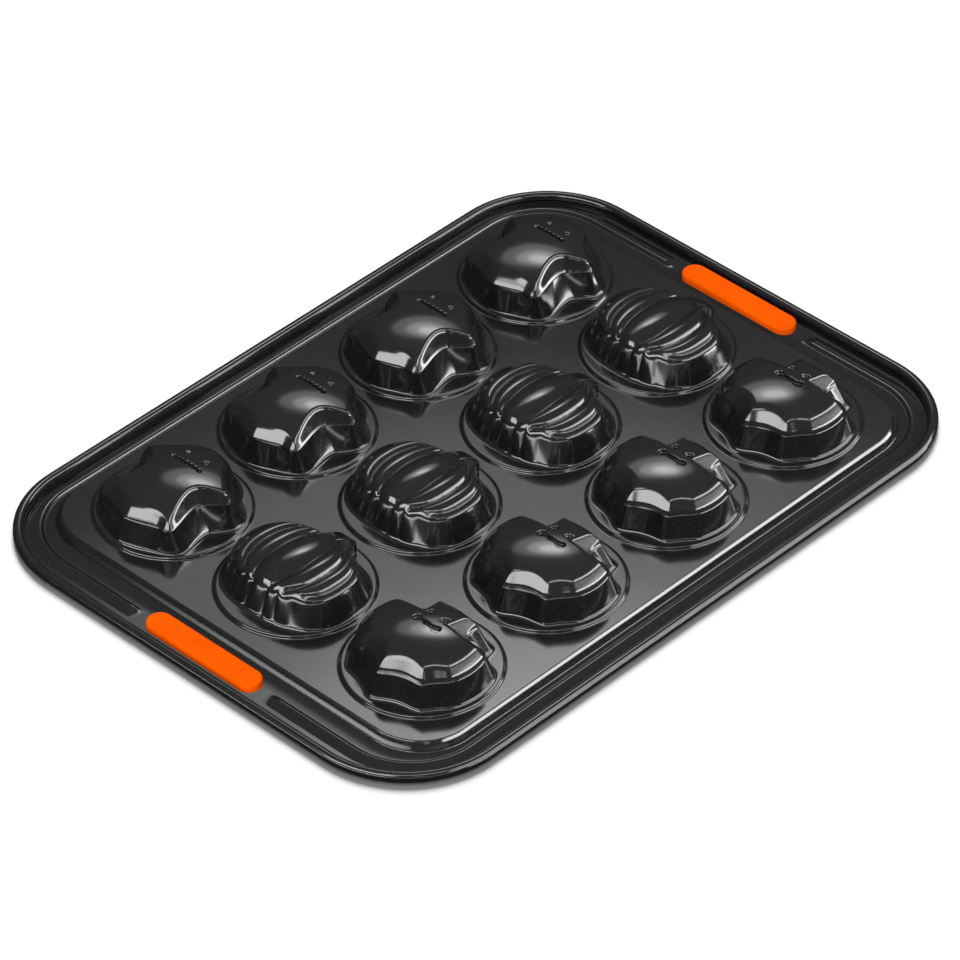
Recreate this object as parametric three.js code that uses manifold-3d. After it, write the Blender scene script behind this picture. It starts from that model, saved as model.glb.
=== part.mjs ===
// Twelve-cup metal baking pan with ghost, pumpkin and bat cups and two soft end grips.
// It lies face down, as photographed: the cups rise from the deck and open downwards.
import * as THREE from 'three';
import { mergeVertices } from 'three/addons/utils/BufferGeometryUtils.js';
import Module from 'manifold-3d';

const wasm = await Module();
wasm.setup();

// Sheet and fits, in millimetres like every length below
const sheet = 0.8;
const clearance = 0.3;

// Cup layout: four columns along X, one row of each figure along Y
const columns = 4;
const ringGapX = 5.4;
const ringGapY = 3.7;

// Round step about each cup
const ringRadius = 37.6;
const ringRise = 1.5;
const ringRun = 1.8;

// Ghost and bat: height of the crown over the deck, and how far the wall's top lies below it
const domeRadius = 88;
const ghostCrown = 22.5;
const ghostEdgeDrop = 9.1;
const ghostEdgeRun = 5;
const batCrown = 23.2;
const batWingDrop = 10.2;
const batHeadDrop = 7.7;
const batFacetSlope = THREE.MathUtils.degToRad(50);

// Pumpkin: height of the wall's top, of the crown over it, and of the ribs and stem
const pumpkinEdge = 14.5;
const pumpkinCrown = 5;
const ribHeight = 1.1;
const stemWidth = 9.2;

// Deck, sloping side, flange and stiffening bead
const deckMarginX = 6.5;
const deckMarginY = 4.8;
const deckCorner = 25.9;
const deckRise = 4.1;
const deckBend = 1;
const slopeRun = 3.1;
const flangeY = 2.4;
const beadCorner = 34.5;
const beadWidth = 7.5;
const beadHeight = 1.6;
const beadEnd = 3.4;

// Rolled edge about its wire
const rimGapX = 6.8;
const rimGapY = 4;
const rollCorner = 50.1;
const rollRadius = 2.6;
const rollTurn = THREE.MathUtils.degToRad(280);
const flangeDrop = 0.6;
const wireGap = 0.8;

// Soft grips, pushed through a slot in each end flange
const gripLength = 68.8;
const gripWidth = 12.8;
const gripRise = 3.1;
const gripInnerGap = 4.3;
const gripOuterGap = 2.8;
const gripRound = 1.3;
const gripBreak = 8.2;
const slotWidth = 6;
const slotMargin = 5;
const seatGap = 0.15;

// Facets
const cornerSteps = 6;
const holeSides = 28;
const rollSteps = 7;
const wireSides = 6;
const gripEndSteps = 6;

const flangeTop = rollRadius - flangeDrop;
const deckTop = flangeTop + deckRise;
const ledgeRadius = ringRadius - ringRun;
const percent = ledgeRadius / 100;
const cupPitchX = 2 * ringRadius + ringGapX;
const cupPitchY = 2 * ringRadius + ringGapY;

const coating = new THREE.MeshStandardMaterial({ color: '#2b2b2d', roughness: 0.38, metalness: 0.55 });
const silicone = new THREE.MeshStandardMaterial({ color: '#f5640a', roughness: 0.55, metalness: 0 });
const steel = new THREE.MeshStandardMaterial({ color: '#a9abae', roughness: 0.35, metalness: 1 });

const group = new THREE.Group();
group.name = 'baking_pan';

function addPart(name, geometry, material) {
  const mesh = new THREE.Mesh(geometry, material);
  mesh.name = name;
  group.add(mesh);
  return mesh;
}

// Collects rings of equal count into one closed surface
class Skin {
  constructor() {
    this.positions = [];
    this.triangles = [];
  }

  ring(points) {
    const first = this.positions.length / 3;
    points.forEach((p) => this.positions.push(p.x, p.y, p.z));
    return points.map((_, i) => first + i);
  }

  quad(a, b, c, d) {
    this.triangles.push(a, b, c, a, c, d);
  }

  // Strip between two counterclockwise rings, facing up where ring b lies outside ring a
  band(a, b) {
    a.forEach((_, i) => {
      const next = (i + 1) % a.length;
      this.quad(a[i], b[i], b[next], a[next]);
    });
  }

  // Closes a ring with a fan about one point, turned over on request
  fan(ring, point, over) {
    const [middle] = this.ring([point]);
    ring.forEach((index, i) => {
      const next = ring[(i + 1) % ring.length];
      this.triangles.push(middle, over ? next : index, over ? index : next);
    });
  }

  geometry() {
    const geometry = new THREE.BufferGeometry();
    geometry.setAttribute('position', new THREE.Float32BufferAttribute(this.positions, 3));
    geometry.setIndex(this.triangles);
    return geometry;
  }
}

// Closed solid through a stack of rings, each end closed by a fan
function stack(rings) {
  const skin = new Skin();
  const indices = rings.map((points) => skin.ring(points));
  for (let k = 1; k < indices.length; k += 1) {
    skin.band(indices[k], indices[k - 1]);
  }
  skin.fan(indices[0], centreOf(rings[0]), true);
  skin.fan(indices.at(-1), centreOf(rings.at(-1)), false);
  return skin.geometry();
}

function centreOf(points) {
  const sum = points.reduce((total, p) => total.add(p), new THREE.Vector3());
  return sum.divideScalar(points.length);
}

// Shift from a sheet's upper face to its lower face at each bend of a profile of [run, height] points
function sheetShifts(profile) {
  const slopes = profile.slice(1).map(([run, height], k) => (
    Math.atan2(height - profile[k][1], run - profile[k][0])
  ));
  return profile.map((_, k) => {
    const before = slopes[Math.max(k - 1, 0)];
    const after = slopes[Math.min(k, slopes.length - 1)];
    const reach = sheet / Math.cos((after - before) / 2);
    const mean = (after + before) / 2;
    return { run: reach * Math.sin(mean), drop: reach * Math.cos(mean) };
  });
}

// Rounded rectangles about the deck, from its edge out to the rolled rim
function grown({ halfX, halfY, corner }, by) {
  return { halfX: halfX + by, halfY: halfY + by, corner: corner + by };
}

function between(a, b, t) {
  return {
    halfX: THREE.MathUtils.lerp(a.halfX, b.halfX, t),
    halfY: THREE.MathUtils.lerp(a.halfY, b.halfY, t),
    corner: THREE.MathUtils.lerp(a.corner, b.corner, t),
  };
}

const deckEdge = {
  halfX: ((columns - 1) / 2) * cupPitchX + ringRadius + deckMarginX,
  halfY: cupPitchY + ringRadius + deckMarginY,
  corner: deckCorner,
};
const slopeFoot = grown(deckEdge, slopeRun);
const rollLine = {
  halfX: slopeFoot.halfX + gripInnerGap + gripWidth + gripOuterGap + rollRadius,
  halfY: slopeFoot.halfY + flangeY + beadWidth + rimGapY,
  corner: rollCorner,
};
const beadOuter = {
  halfX: rollLine.halfX - rimGapX,
  halfY: rollLine.halfY - rimGapY,
  corner: beadCorner + beadWidth,
};
const beadInner = grown(beadOuter, -beadWidth);
const gripLine = slopeFoot.halfX + gripInnerGap + gripWidth / 2;

// The bead stops short of each grip: one station where it is gone and one where it is full
const beadGone = gripLength / 2 + gripBreak;
const beadFull = beadGone + beadEnd;

// Stations counterclockwise about a rounded rectangle; bead tells how much of the bead is there
function stations({ halfX, halfY, corner }) {
  const list = [];
  const corners = [[1, 1], [-1, 1], [-1, -1], [1, -1]];
  corners.forEach(([sideX, sideY], index) => {
    for (let k = 0; k <= cornerSteps; k += 1) {
      const angle = (index + k / cornerSteps) * (Math.PI / 2);
      list.push({
        x: sideX * (halfX - corner) + corner * Math.cos(angle),
        y: sideY * (halfY - corner) + corner * Math.sin(angle),
        bead: 1,
      });
    }
    if (index % 2 === 1) {
      [beadFull, beadGone, -beadGone, -beadFull].forEach((y) => list.push({
        x: sideX * halfX,
        y: -sideX * y,
        bead: Math.abs(y) === beadFull ? 1 : 0,
      }));
    }
  });
  return list;
}

// Sheet from the deck's edge down the slope, over the bead and about the rolled rim
function frameRings() {
  const slope = Math.atan2(deckRise, slopeRun);
  const upper = [
    { line: grown(deckEdge, -deckBend), run: -deckBend, z: deckTop, lift: 0 },
    {
      line: grown(deckEdge, deckBend * Math.cos(slope)),
      run: deckBend * Math.cos(slope),
      z: deckTop - deckBend * Math.sin(slope),
      lift: 0,
    },
    { line: slopeFoot, run: slopeRun, z: flangeTop, lift: 0 },
  ];
  const beadStart = slopeRun + beadInner.halfX - slopeFoot.halfX;
  [0, 0.2, 0.5, 0.8, 1].forEach((t) => upper.push({
    line: between(beadInner, beadOuter, t),
    run: beadStart + t * beadWidth,
    z: flangeTop,
    lift: beadHeight * Math.sin(Math.PI * t),
  }));
  upper.push({
    line: grown(rollLine, -rollRadius - sheet * 2),
    run: beadStart + beadWidth + rimGapX - rollRadius - sheet * 2,
    z: flangeTop,
    lift: 0,
  });
  const shifts = sheetShifts(upper.map(({ run, z, lift }) => [run, z + lift]));
  const lower = upper.map(({ line, z, lift }, k) => ({
    line: grown(line, shifts[k].run),
    z: z - (lift > 0 ? sheet : shifts[k].drop),
    lift,
  }));

  const innerRoll = rollRadius - sheet;
  const curl = (radius) => Array.from({ length: rollSteps + 1 }, (_, k) => {
    const angle = -Math.PI / 2 + (rollTurn * k) / rollSteps;
    return {
      line: grown(rollLine, radius * Math.cos(angle)),
      z: rollRadius + radius * Math.sin(angle),
      lift: 0,
    };
  });
  const dip = (z) => ({ line: grown(rollLine, -rollRadius * Math.SQRT1_2), z, lift: 0 });
  const levels = [
    ...upper,
    dip((flangeTop + sheet) / 2),
    ...curl(innerRoll),
    ...curl(rollRadius).reverse(),
    dip((flangeTop - sheet) / 2),
    ...lower.reverse(),
  ];
  return levels.map(({ line, z, lift }) => stations(line).map((p) => (
    new THREE.Vector3(p.x, p.y, z + lift * p.bead)
  )));
}

function toManifold(geometry) {
  const plain = geometry.clone();
  plain.deleteAttribute('normal');
  plain.deleteAttribute('uv');
  const merged = mergeVertices(plain, 1e-4);
  return new wasm.Manifold(new wasm.Mesh({
    numProp: 3,
    vertProperties: new Float32Array(merged.attributes.position.array),
    triVerts: new Uint32Array(merged.index.array),
  }));
}

function fromManifold(solid) {
  const mesh = solid.getMesh();
  const geometry = new THREE.BufferGeometry();
  geometry.setAttribute('position', new THREE.BufferAttribute(mesh.vertProperties, 3));
  geometry.setIndex(new THREE.BufferAttribute(mesh.triVerts, 1));
  return geometry;
}

// Points counterclockwise about a bar with round ends, lying along Y
function stadium(length, width, x, z) {
  const radius = width / 2;
  const points = [];
  [1, -1].forEach((end) => {
    for (let k = 0; k <= gripEndSteps; k += 1) {
      const angle = ((end > 0 ? 0 : 1) + k / gripEndSteps) * Math.PI;
      points.push(new THREE.Vector3(
        x + radius * Math.cos(angle),
        end * (length / 2 - radius) + radius * Math.sin(angle),
        z,
      ));
    }
  });
  return points;
}

const cupColumns = Array.from({ length: columns }, (_, k) => (k - (columns - 1) / 2) * cupPitchX);
const cupRows = [
  { figure: 'ghost', y: cupPitchY },
  { figure: 'pumpkin', y: 0 },
  { figure: 'bat', y: -cupPitchY },
];
const slotLength = gripLength - 2 * slotMargin;

function buildFrame() {
  const rings = frameRings();
  const skin = new Skin();
  const indices = rings.map((points) => skin.ring(points));
  for (let k = 1; k < indices.length; k += 1) {
    skin.band(indices[k - 1], indices[k]);
  }
  skin.fan(indices[0], new THREE.Vector3(0, 0, deckTop), false);
  skin.fan(indices.at(-1), new THREE.Vector3(0, 0, deckTop - sheet), true);
  let solid = toManifold(skin.geometry());
  const holeRadius = (ringRadius + clearance) / Math.cos(Math.PI / holeSides);
  cupRows.forEach(({ y }) => cupColumns.forEach((x) => {
    const hole = new THREE.CylinderGeometry(holeRadius, holeRadius, deckTop, holeSides);
    hole.rotateX(Math.PI / 2);
    hole.translate(x, y, deckTop);
    solid = solid.subtract(toManifold(hole));
  }));
  [-1, 1].forEach((side) => {
    const slot = stack([0, deckTop].map((z) => stadium(slotLength, slotWidth, side * gripLine, z)));
    solid = solid.subtract(toManifold(slot));
  });
  return fromManifold(solid);
}

// Rim wire: one loop with its butt joint at the middle of a long side
function buildWire() {
  const radius = rollRadius - sheet - clearance;
  const sides = Array.from({ length: wireSides }, (_, k) => {
    const angle = -(k / wireSides) * Math.PI * 2;
    const z = rollRadius + radius * Math.sin(angle);
    const points = stations(grown(rollLine, radius * Math.cos(angle)));
    const start = cornerSteps + 1;
    const loop = [...points.slice(start), ...points.slice(0, start)];
    const first = { x: -wireGap / 2, y: loop[0].y };
    const last = { x: wireGap / 2, y: loop.at(-1).y };
    return [first, ...loop, last].map((p) => new THREE.Vector3(p.x, p.y, z));
  });
  return stack(sides[0].map((_, i) => sides.map((side) => side[i])));
}

// Grip: broad head above the flange, neck through the slot, thin foot flush with the rolled edge
function buildGrip(side) {
  const x = side * gripLine;
  const footTop = flangeTop - sheet - seatGap;
  const headBase = flangeTop + seatGap;
  const headTop = flangeTop + gripRise;
  const footRound = footTop / 3;
  const halfRound = gripRound * (1 - Math.SQRT1_2);
  const neck = -2 * clearance;
  const bar = (inset, z) => stadium(gripLength - 2 * inset, gripWidth - 2 * inset, x, z);
  const slotBar = (z) => stadium(slotLength + neck, slotWidth + neck, x, z);
  return stack([
    bar(footRound, 0),
    bar(0, footRound),
    bar(0, footTop),
    slotBar(footTop),
    slotBar(headBase),
    bar(0, headBase),
    bar(0, headTop - gripRound),
    bar(halfRound, headTop - halfRound),
    bar(gripRound, headTop),
  ]);
}

// Outward corner vectors of a closed outline, so that outline plus vector times d lies d away
function cornerVectors(points) {
  const longest = 1.6;
  return points.map((p, i) => {
    const before = points[(i + points.length - 1) % points.length];
    const after = points[(i + 1) % points.length];
    const normalIn = new THREE.Vector2(p.y - before.y, before.x - p.x).normalize();
    const normalOut = new THREE.Vector2(after.y - p.y, p.x - after.x).normalize();
    const sum = normalIn.clone().add(normalOut).normalize();
    return sum.multiplyScalar(Math.min(1 / sum.dot(normalIn), longest));
  });
}

// Full outline from the half with y above zero; the first and last points lie on the X axis
function mirrored(half) {
  const lower = half.slice(1, -1).reverse().map((p) => new THREE.Vector2(p.x, -p.y));
  return [...half, ...lower];
}

// Points after the first on a shallow arc that bulges by sag to the left of the walk
function arcTo(from, to, sag, steps) {
  const chord = to.clone().sub(from);
  const left = new THREE.Vector2(-chord.y, chord.x).normalize();
  return Array.from({ length: steps }, (_, k) => {
    const t = (k + 1) / steps;
    return from.clone().addScaledVector(chord, t).addScaledVector(left, sag * 4 * t * (1 - t));
  });
}

// Point of a figure's outline, given in hundredths of the ledge radius
const at = (x, y) => new THREE.Vector2(x, y).multiplyScalar(percent);

// Bat outline: square head, notch, shoulder, round wing and scalloped hem
function batOutline({ front, corner, notch, shoulder, wing, tip, midTip, tail, hemSag, tipSag }) {
  const shoulderTurn = THREE.MathUtils.degToRad(6);
  const half = [at(front, 0), at(...corner), at(...notch), at(...shoulder)];
  const wingStart = Math.atan2(shoulder[1], shoulder[0]) + shoulderTurn;
  const wingEnd = Math.atan2(tip[1], tip[0]);
  const wingSteps = 4;
  for (let k = 0; k < wingSteps; k += 1) {
    const angle = THREE.MathUtils.lerp(wingStart, wingEnd, k / wingSteps);
    half.push(at(wing * Math.cos(angle), wing * Math.sin(angle)));
  }
  half.push(at(...tip));
  half.push(...arcTo(at(...tip), at(...midTip), tipSag * percent, 2));
  half.push(...arcTo(at(...midTip), at(tail, 0), hemSag * percent, 4));
  return mirrored(half);
}

const batFoot = batOutline({
  front: 83.8,
  corner: [79.6, 47.5],
  notch: [54.7, 52],
  shoulder: [48, 81.6],
  wing: 95.6,
  tip: [-43.3, 84.7],
  midTip: [-73.3, 63.4],
  tail: -97.2,
  hemSag: 7.2,
  tipSag: 2.8,
});
const batTopNotch = [42.5, 34.9];
const batTop = batOutline({
  front: 70.4,
  corner: [67, 32.4],
  notch: batTopNotch,
  shoulder: [39.4, 75.1],
  wing: 86,
  tip: [-35.2, 77.9],
  midTip: [-63.6, 57.6],
  tail: -84.5,
  hemSag: 9.2,
  tipSag: 3.4,
});

// Ghost outline: round head, raised arm, waist, hem corner and hem lobe
function ghostOutline({ headCentre, headRadius, side, hem }) {
  const headSteps = 4;
  const headSweep = THREE.MathUtils.degToRad(58);
  const half = [];
  for (let k = 0; k < headSteps; k += 1) {
    const angle = (headSweep * k) / headSteps;
    half.push(at(headCentre + headRadius * Math.cos(angle), headRadius * Math.sin(angle)));
  }
  [...side, ...hem].forEach((p) => half.push(at(...p)));
  return mirrored(half);
}

const ghostFoot = ghostOutline({
  headCentre: 30.8,
  headRadius: 64.8,
  side: [[65.1, 54.9], [47.5, 82.7], [27.9, 93.1], [9.8, 92.2], [-8.4, 82.7], [-25.2, 78.2],
    [-50.3, 78.8], [-63, 74]],
  hem: [[-75.1, 60.9], [-85.5, 40.5], [-92.7, 23.7], [-97.2, 0]],
});
const ghostTop = ghostOutline({
  headCentre: 30.8,
  headRadius: 54.5,
  side: [[59.7, 46.2], [34.7, 70.9], [22.4, 78.2], [9.5, 73.5], [-2.2, 58.1], [-24.2, 56.7],
    [-52, 66.2], [-63, 67.7]],
  hem: [[-72.5, 59.9], [-73.5, 42], [-80.3, 23.7], [-87.2, 0]],
});

const domeHeight = (crown, p) => crown - p.lengthSq() / (2 * domeRadius);

// Ring on a circle, with its points facing those of an outline
function circleRing(outline, radius, z) {
  return outline.map((p) => {
    const angle = Math.atan2(p.y, p.x);
    return new THREE.Vector3(radius * Math.cos(angle), radius * Math.sin(angle), z);
  });
}

// Ring at a depth inside an outline, at a height that may depend on the place and on the outline's point
function insetRing(outline, depth, height) {
  const vectors = cornerVectors(outline);
  return outline.map((p, i) => {
    const place = p.clone().addScaledVector(vectors[i], -depth(p, vectors[i]));
    return new THREE.Vector3(place.x, place.y, height(place, p));
  });
}

// Levels of a cup's upper face; each one gives its ring for a shift in and down of the sheet
function stepLevels(foot) {
  return [
    (run, drop) => circleRing(foot, ringRadius - run, -drop),
    (run, drop) => circleRing(foot, ledgeRadius - run, ringRise - drop),
    (run, drop) => insetRing(foot, () => run, () => ringRise - drop),
  ];
}

const wallTopLevel = (top, z) => (run, drop) => insetRing(top, () => run, () => z - drop);

// Mean run and height of each level, for the shifts to the sheet's lower face
function levelShifts(levels) {
  const rings = levels.map((level) => level(0, 0));
  let run = 0;
  const profile = rings.map((ring, k) => {
    const steps = ring.map((p, i) => {
      const q = rings[Math.max(k - 1, 0)][i];
      return Math.hypot(p.x - q.x, p.y - q.y);
    });
    run += steps.reduce((sum, step) => sum + step, 0) / ring.length;
    return [run, ring.reduce((sum, p) => sum + p.z, 0) / ring.length];
  });
  return sheetShifts(profile);
}

// Shell of a cup: upper face, lower face and the rim that joins them; close makes each face's cap
function cupShell(levels, close) {
  const shifts = levelShifts(levels);
  const skin = new Skin();
  const face = (upper) => {
    const rings = levels.map((level, k) => (
      skin.ring(upper ? level(0, 0) : level(shifts[k].run, shifts[k].drop))
    ));
    for (let k = 1; k < rings.length; k += 1) {
      skin.band(upper ? rings[k] : rings[k - 1], upper ? rings[k - 1] : rings[k]);
    }
    close(skin, rings.at(-1), upper);
    return rings[0];
  };
  skin.band(face(true), face(false));
  return skin.geometry();
}

// Cap of ghost and bat: an inner ring on the dome, at a share of the outline, and a fan about the crown
const domeCap = (outline, crown) => (skin, edge, upper) => {
  const innerShare = 0.38;
  const drop = upper ? 0 : sheet;
  const inner = skin.ring(outline.map((p) => {
    const place = p.clone().multiplyScalar(innerShare);
    return new THREE.Vector3(place.x, place.y, domeHeight(crown, place) - drop);
  }));
  skin.band(upper ? inner : edge, upper ? edge : inner);
  skin.fan(inner, new THREE.Vector3(0, 0, crown - drop), !upper);
};

// Bat: plane facets lean from the wall's top, higher at the head, to a shallow dome
function buildBat() {
  const lean = Math.tan(batFacetSlope);
  const notch = at(...batTopNotch);
  const edgeDrop = (p) => (p.x >= notch.x ? batHeadDrop : batWingDrop);
  const wallTop = (run, drop) => insetRing(
    batTop,
    () => run,
    (place, p) => batCrown - edgeDrop(p) - drop,
  );
  const facetDepth = (p, vector) => {
    const halfway = p.clone().addScaledVector(vector, -edgeDrop(p) / lean / 2);
    return (domeHeight(batCrown, halfway) - batCrown + edgeDrop(p)) / lean;
  };
  const facetTop = (run, drop) => insetRing(
    batTop,
    (p, vector) => facetDepth(p, vector) + run,
    (place) => domeHeight(batCrown, place) - drop,
  );
  return cupShell([...stepLevels(batFoot), wallTop, facetTop], domeCap(batTop, batCrown));
}

// Ghost: the wall rolls over a broad round edge into a shallow dome
function buildGhost() {
  const shoulder = ghostCrown - ghostEdgeDrop;
  const roundLevel = (angle) => (run, drop) => insetRing(
    ghostTop,
    () => ghostEdgeRun * (1 - Math.cos(angle)) + run,
    (place) => shoulder + Math.sin(angle) * (domeHeight(ghostCrown, place) - shoulder) - drop,
  );
  const levels = [
    ...stepLevels(ghostFoot),
    wallTopLevel(ghostTop, shoulder),
    roundLevel(Math.PI / 4),
    roundLevel(Math.PI / 2),
  ];
  return cupShell(levels, domeCap(ghostTop, ghostCrown));
}

// Pumpkin: an oval with ribs along X; lines across it lie on the grooves and on the ribs' crests
const pumpkinFoot = { halfX: 79.1 * percent, halfY: 96.9 * percent };
const pumpkinTop = { halfX: 65.6 * percent, halfY: 83.8 * percent };
const ovalPower = 2.5;
const ovalEndRatio = 0.93;
const grooves = [0.3, 0.63, 0.92];
const ribLines = [0, 0.15, 0.3, 0.465, 0.63, 0.775, 0.92, 1];
const acrossLines = [...ribLines.slice(1).reverse().map((v) => -v), ...ribLines];
const alongLines = [-1, -0.8, -0.3, 0.3, 0.8, 1];
const stemReach = { foot: 97.2 * percent, middle: 88.2 * percent, top: 69.3 * percent };
const stemMiddleRatio = 0.62;

// Half width of the oval at a place along it, from -1 to 1
function ovalWidth(along) {
  return (1 - Math.abs(along * ovalEndRatio) ** ovalPower) ** (1 / ovalPower);
}

// Bulge of the rib at a place across the oval: one on its crest, zero in the grooves beside it
function ribBulge(across) {
  const place = Math.abs(across);
  const edges = [-grooves[0], ...grooves, 1];
  const next = edges.findIndex((edge, k) => k > 0 && place <= edge);
  const middle = (edges[next - 1] + edges[next]) / 2;
  const half = (edges[next] - edges[next - 1]) / 2;
  return Math.sqrt(Math.max(0, 1 - ((place - middle) / half) ** 2));
}

function pumpkinHeight(along, across) {
  const share = Math.sqrt((1 - along ** 4) * (1 - across ** 4));
  return pumpkinEdge + share * (pumpkinCrown + ribHeight * ribBulge(across));
}

function buildPumpkin() {
  const place = (oval, along, across) => new THREE.Vector2(
    along * oval.halfX,
    across * ovalWidth(along) * oval.halfY,
  );
  const border = [
    ...acrossLines.map((across) => [1, across]),
    ...alongLines.slice(1, -1).reverse().map((along) => [along, 1]),
    ...acrossLines.map((across) => [-1, -across]),
    ...alongLines.slice(1, -1).map((along) => [along, -1]),
  ];
  const [ribEdge] = grooves;
  const outline = (oval, reach) => border.map(([along, across]) => {
    const onStem = along === 1 && Math.abs(across) <= ribEdge;
    const onOval = place(oval, along, across);
    return onStem ? new THREE.Vector2(reach, (across / ribEdge) * (stemWidth / 2)) : onOval;
  });
  const middle = {
    halfX: THREE.MathUtils.lerp(pumpkinFoot.halfX, pumpkinTop.halfX, stemMiddleRatio),
    halfY: THREE.MathUtils.lerp(pumpkinFoot.halfY, pumpkinTop.halfY, stemMiddleRatio),
  };
  const middleHeight = THREE.MathUtils.lerp(ringRise, pumpkinEdge, stemMiddleRatio);
  const levels = [
    ...stepLevels(outline(pumpkinFoot, stemReach.foot)),
    wallTopLevel(outline(middle, stemReach.middle), middleHeight),
    wallTopLevel(outline(pumpkinTop, stemReach.top), pumpkinEdge),
  ];
  const ribbedCap = (skin, edge, upper) => {
    const known = new Map(border.map(([along, across], i) => [`${along} ${across}`, edge[i]]));
    const rows = alongLines.map((along) => acrossLines.map((across) => {
      const p = place(pumpkinTop, along, across);
      const z = pumpkinHeight(along, across) - (upper ? 0 : sheet);
      return known.get(`${along} ${across}`) ?? skin.ring([new THREE.Vector3(p.x, p.y, z)])[0];
    }));
    for (let j = 1; j < rows.length; j += 1) {
      for (let i = 1; i < acrossLines.length; i += 1) {
        const corners = [rows[j - 1][i - 1], rows[j][i - 1], rows[j][i], rows[j - 1][i]];
        skin.quad(...(upper ? corners : corners.reverse()));
      }
    }
  };
  return cupShell(levels, ribbedCap);
}

addPart('pan_frame', buildFrame(), coating);
const builders = { ghost: buildGhost, pumpkin: buildPumpkin, bat: buildBat };
cupRows.forEach(({ figure, y }) => {
  const geometry = builders[figure]();
  cupColumns.forEach((x, k) => {
    addPart(`cup_${figure}_${k + 1}`, geometry.clone().translate(x, y, deckTop), coating);
  });
});
addPart('rim_wire', buildWire(), steel);
addPart('grip_left', buildGrip(-1), silicone);
addPart('grip_right', buildGrip(1), silicone);

export default group;
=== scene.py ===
"""Looks of a twelve-cup shaped baking pan: coated steel sheet, rolled edge and two soft grips."""

import math

import bmesh
import bpy
import numpy as np
from bpy.props import FloatProperty, FloatVectorProperty, PointerProperty
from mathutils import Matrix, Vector


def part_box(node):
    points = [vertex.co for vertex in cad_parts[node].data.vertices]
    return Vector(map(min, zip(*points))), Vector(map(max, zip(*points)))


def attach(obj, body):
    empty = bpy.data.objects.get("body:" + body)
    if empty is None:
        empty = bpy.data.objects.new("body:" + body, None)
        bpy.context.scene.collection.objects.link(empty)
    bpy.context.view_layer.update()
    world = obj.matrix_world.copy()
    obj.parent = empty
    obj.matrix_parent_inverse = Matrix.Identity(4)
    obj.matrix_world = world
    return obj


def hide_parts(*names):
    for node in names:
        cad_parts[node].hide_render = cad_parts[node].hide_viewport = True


bl_info = {
    "name": "Shaped Baking Pan",
    "version": (1, 0, 0),
    "blender": (4, 5, 0),
    "location": "View3D > Sidebar > Pan",
    "description": "Builds the sheet, cups, grips and studio of a twelve-cup baking pan",
    "category": "Object",
}

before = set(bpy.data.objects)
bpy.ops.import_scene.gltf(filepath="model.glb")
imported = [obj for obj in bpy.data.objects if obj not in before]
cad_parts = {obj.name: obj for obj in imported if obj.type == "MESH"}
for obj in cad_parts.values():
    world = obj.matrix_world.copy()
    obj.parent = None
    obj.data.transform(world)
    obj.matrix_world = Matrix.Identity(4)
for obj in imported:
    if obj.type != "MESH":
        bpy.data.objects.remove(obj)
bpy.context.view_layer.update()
MM = 0.001
BODY = "root"
FIGURES = ("ghost", "pumpkin", "bat")


# Outlines of the figures, in hundredths of the ledge radius; the half with y above zero, from +X to -X.
# Bat: front of the head, its corner, notch, shoulder, wing radius, wing tip, middle tip, tail and sags.
BAT_FOOT = {
    "front": 83.8, "corner": (79.6, 47.5), "notch": (54.7, 52.0), "shoulder": (48.0, 81.6), "wing": 95.6,
    "tip": (-43.3, 84.7), "mid_tip": (-73.3, 63.4), "tail": -97.2, "tip_sag": 2.8, "hem_sag": 7.2,
}
BAT_TOP = {
    "front": 70.4, "corner": (67.0, 34.4), "notch": (42.5, 36.9), "shoulder": (39.4, 75.1), "wing": 86.0,
    "tip": (-35.2, 77.9), "mid_tip": (-63.6, 57.6), "tail": -84.5, "tip_sag": 3.4, "hem_sag": 9.2,
}
# Ghost: middle and radius of the round head, then points down the side and along the hem.
GHOST_FOOT = {
    "head_centre": 30.8, "head_radius": 64.8,
    "side": [(65.1, 54.9), (47.5, 82.7), (27.9, 92.2), (9.8, 85.1), (-8.4, 73.7), (-25.2, 72.9),
             (-50.3, 76.5), (-63.0, 74.0)],
    "hem": [(-75.1, 60.9), (-85.5, 40.5), (-92.7, 23.7), (-97.2, 0.0)],
}
GHOST_TOP = {
    "head_centre": 30.8, "head_radius": 54.5,
    "side": [(59.7, 46.2), (34.0, 73.5), (22.0, 76.5), (12.0, 66.5), (-2.5, 53.4), (-22.0, 54.0),
             (-51.0, 62.3), (-63.5, 65.2)],
    "hem": [(-71.0, 58.5), (-71.5, 41.0), (-78.0, 24.0), (-85.0, 0.0)],
}
# Pumpkin: half sizes of the oval and reach of the stem, with the stem's half width in mm; half sizes of the
# oval that the grooves follow.
PUMPKIN_FOOT = {"half_x": 79.1, "half_y": 96.9, "stem_reach": 97.2, "stem_half": 4.6}
PUMPKIN_TOP = {"half_x": 63.7, "half_y": 83.8, "stem_reach": 64.5, "stem_half": 4.2}
PUMPKIN_GROOVES = {"half_x": 76.3, "half_y": 83.8}
# Grooves across the pumpkin, from its middle at 0 to its edge at 1, and where the last rib ends.
GROOVES = np.array([0.3, 0.63, 0.92])
LAST_RIB = 1.3
# Power of the pumpkin's oval: 2 would be an ellipse, and more is squarer.
OVAL_POWER = 2.5

# Points on each stretch of the outlines, and passes that ease their corners.
BAT_STEPS = {"head": 18, "neck": 14, "shoulder": 3, "wing": 32, "tip": 15, "hem": 26}
GHOST_STEPS = {"head": 40, "curve": 10}
PUMPKIN_STEPS = 320
EASING = {"bat": 20, "ghost": 2}
# The bat's wing begins this far past its shoulder, in radians.
WING_START = 0.1
# The ghost's round head spans these degrees, and the arm's curve sets out from this many of its points back.
HEAD_SPAN = 58
HEAD_BACK = 12
# Rounding beside the pumpkin's stem, in mm.
STEM_ROUND = 0.9

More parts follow.
